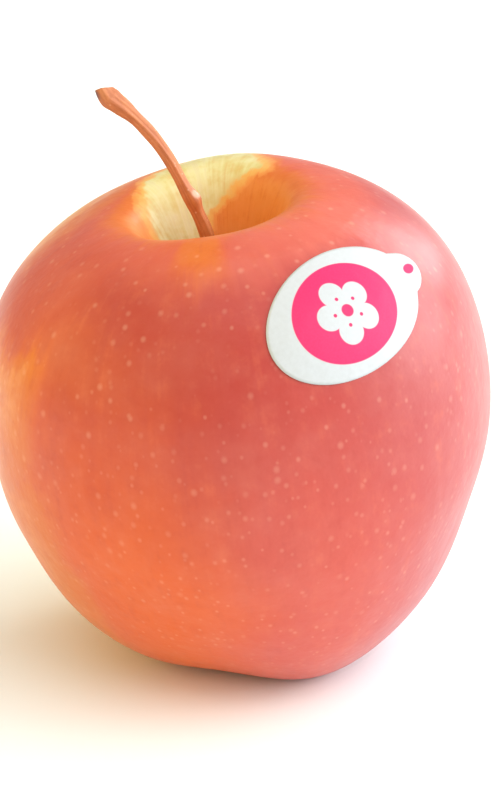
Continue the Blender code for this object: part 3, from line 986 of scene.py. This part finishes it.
def printed_mark(graph, place):
    """1 where the label is printed, 0 where its paper is bare."""
    x, y, _ = graph.separate(place)

    def disc(at, size, softness=PRINT_SOFTNESS):
        """1 inside an oval, 0 outside."""
        dx = graph.maths("DIVIDE", graph.maths("SUBTRACT", x, at[0]), size[0])
        dy = graph.maths("DIVIDE", graph.maths("SUBTRACT", y, at[1]), size[1])
        soft = softness / min(size)
        return graph.rise(graph.vector("LENGTH", graph.combine(dx, dy, 0.0)), 1.0 + soft, 1.0 - soft)

    def with_ring(middle, radius, size, softness=PRINT_SOFTNESS):
        """A round shape in the middle of the field, joined by one disc for each petal in a ring round it."""
        joined = disc(FIELD_AT, (middle, middle))
        for number in range(PETALS):
            angle = PETAL_TURN + number * FULL_TURN / PETALS
            at = (FIELD_AT[0] + radius * math.cos(angle), FIELD_AT[1] + radius * math.sin(angle))
            joined = graph.maths("MAXIMUM", joined, disc(at, (size, size), softness))
        return joined

    blossom = with_ring(PETAL_JOIN_SIZE, PETAL_RING, PETAL_SIZE)
    eye = with_ring(EYE_SIZE, DOT_RING, DOT_SIZE, DOT_SOFTNESS)
    mark = graph.maths("MAXIMUM", disc(FIELD_AT, FIELD_SIZE), disc(TAB_MARK_AT, TAB_MARK_SIZE))
    mark = graph.times(mark, graph.maths("SUBTRACT", 1.0, blossom))
    return graph.maths("MAXIMUM", mark, eye)


def make_label_material():
    material, graph = new_graph("label_print")
    place = graph.attribute("print_at", "Vector")
    fibre = graph.noise(place, 1.4, 4.0, 0.6)
    wave = graph.noise(place, 0.25, 2.0)
    paper = graph.mix(graph.rise(fibre, -0.4, 0.4), PAPER_GREY, PAPER_PALE)
    printed = graph.mix(graph.rise(graph.noise(place, 3.0, 2.0), -0.5, 0.5), INK, INK_PALE)
    graph.surface(
        Base_Color=graph.mix(printed_mark(graph, place), paper, printed),
        Roughness=graph.total((0.46, 1.0), (fibre, 0.12)),
        Normal=graph.bump(graph.total((wave, 1.0), (fibre, 0.05)), 0.25, 0.0006),
        Specular_IOR_Level=0.3,
    )
    return material


def make_label(fruit, axis):
    """The paper, laid on the skin along the label's own outward direction, with its tab's end lifted."""
    placed = axis @ label_frame()
    tree = BVHTree.FromObject(fruit, bpy.context.evaluated_depsgraph_get())
    outward = (placed.to_3x3() @ Vector((0, 0, 1))).normalized()
    turns = np.linspace(0.0, FULL_TURN, LABEL_SIDES, endpoint=False)
    reach = label_reach(turns)
    flat = [(0.0, 0.0)]
    for share in np.linspace(0.0, 1.0, LABEL_RINGS + 1)[1:]:
        flat += [(share * r * math.cos(t), share * r * math.sin(t)) for r, t in zip(reach, turns)]
    top, bottom = [], []
    for x, y in flat:
        start = placed @ Vector((x * MM, y * MM, ABOVE_SKIN * MM))
        hit, normal, _, _ = tree.ray_cast(start, -outward)
        edge = math.hypot(x / (LABEL_LENGTH / 2), y / (LABEL_WIDTH / 2))
        tab = max(0.0, min(1.0, (x - TAB_LIFT_FROM) / TAB_LIFT_OVER))
        lift = LABEL_LIFT + TAB_LIFT * tab**2 + LABEL_EDGE_LIFT * max(0.0, edge - 0.85)
        bottom.append(hit + normal * lift * MM)
        top.append(hit + normal * (lift + PAPER_THICKNESS) * MM)
    count = len(flat)
    faces = [(0, 1 + side, 1 + (side + 1) % LABEL_SIDES) for side in range(LABEL_SIDES)]
    faces += [face[::-1] for face in ring_faces(LABEL_RINGS, LABEL_SIDES, 1)]
    both = faces + [tuple(v + count for v in face[::-1]) for face in faces]
    rim = 1 + (LABEL_RINGS - 1) * LABEL_SIDES
    for side in range(LABEL_SIDES):
        a, b = rim + side, rim + (side + 1) % LABEL_SIDES
        both.append((b, a, a + count, b + count))
    print_at = np.array([(x, y, 0.0) for x, y in flat] * 2)
    label = mesh_from("label_paper", top + bottom, both, make_label_material(), print_at=print_at)
    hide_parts("label")
    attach(label, "root")


def make_floor():
    material, graph = new_graph("white_sweep")
    graph.surface(Base_Color=FLOOR_COLOUR, Roughness=0.8)
    signs = ((-1, -1), (1, -1), (1, 1), (-1, 1))
    corners = np.array([(FLOOR_HALF * x, FLOOR_HALF * y, 0.0) for x, y in signs])
    floor = mesh_from("floor", corners, [(0, 1, 2, 3)], material, smooth=False)
    floor.location.z = -FLOOR_DROP


def make_world():
    """Cool on the right and in front, a warm yellow on the left, and a neutral grey behind the fruit."""
    world = bpy.data.worlds.new("studio")
    bpy.context.scene.world = world
    world.use_nodes = True
    graph = Graph(world.node_tree)
    x, y, _ = graph.separate(graph.node("TexCoord").outputs["Generated"])
    colour = graph.mix(graph.rise(x, 0.1, -0.9), COOL_SURROUND, WARM_SURROUND)
    colour = graph.mix(graph.rise(y, 0.1, 0.8), colour, BACK_SURROUND)
    background = graph.node("Background")
    graph.put(background.inputs[0], colour)
    background.inputs[1].default_value = 1.0
    graph.tree.links.new(background.outputs[0], graph.node("OutputWorld").inputs[0])


def add_panel(name, azimuth, elevation, size, radiance, colour):
    """A soft panel aimed at the fruit, as bright as its radiance all over."""
    a, e = math.radians(azimuth), math.radians(elevation)
    aim = Vector(PANEL_AIM)
    at = aim + PANEL_DISTANCE * Vector((math.cos(e) * math.cos(a), math.cos(e) * math.sin(a), math.sin(e)))
    data = bpy.data.lights.new(name, "AREA")
    data.shape = "RECTANGLE"
    data.size, data.size_y = size
    data.energy = radiance * math.pi * size[0] * size[1]
    data.color = colour
    light = bpy.data.objects.new(name, data)
    bpy.context.scene.collection.objects.link(light)
    light.location = at
    light.rotation_euler = (aim - at).to_track_quat("-Z", "Y").to_euler()


def make_camera():
    data = bpy.data.cameras.new("camera")
    data.sensor_fit = "AUTO"
    data.sensor_width = 36.0
    data.lens = CAMERA_LENS
    data.clip_start, data.clip_end = 0.01, 20.0
    camera = bpy.data.objects.new("camera", data)
    bpy.context.scene.collection.objects.link(camera)
    camera.location = CAMERA_AT
    camera.rotation_euler = (math.pi / 2 - CAMERA_DOWN, 0.0, -CAMERA_RIGHT)
    bpy.context.scene.camera = camera


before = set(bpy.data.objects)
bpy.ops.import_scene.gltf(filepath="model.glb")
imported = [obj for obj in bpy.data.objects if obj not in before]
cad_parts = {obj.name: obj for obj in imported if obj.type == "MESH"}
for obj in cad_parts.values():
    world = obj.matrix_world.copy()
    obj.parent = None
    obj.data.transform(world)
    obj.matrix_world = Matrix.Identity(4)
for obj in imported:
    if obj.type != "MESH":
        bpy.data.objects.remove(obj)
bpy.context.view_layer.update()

make_camera()
make_world()
make_floor()
for name, setting in PANELS.items():
    add_panel(name, *setting)

fruit, axis = make_fruit()
make_stem(axis)
make_calyx(axis)
make_label(fruit, axis)

settings = bpy.context.scene.view_settings
settings.view_transform = "Standard"
settings.look = "None"
settings.exposure = 0.0
settings.gamma = 1.0
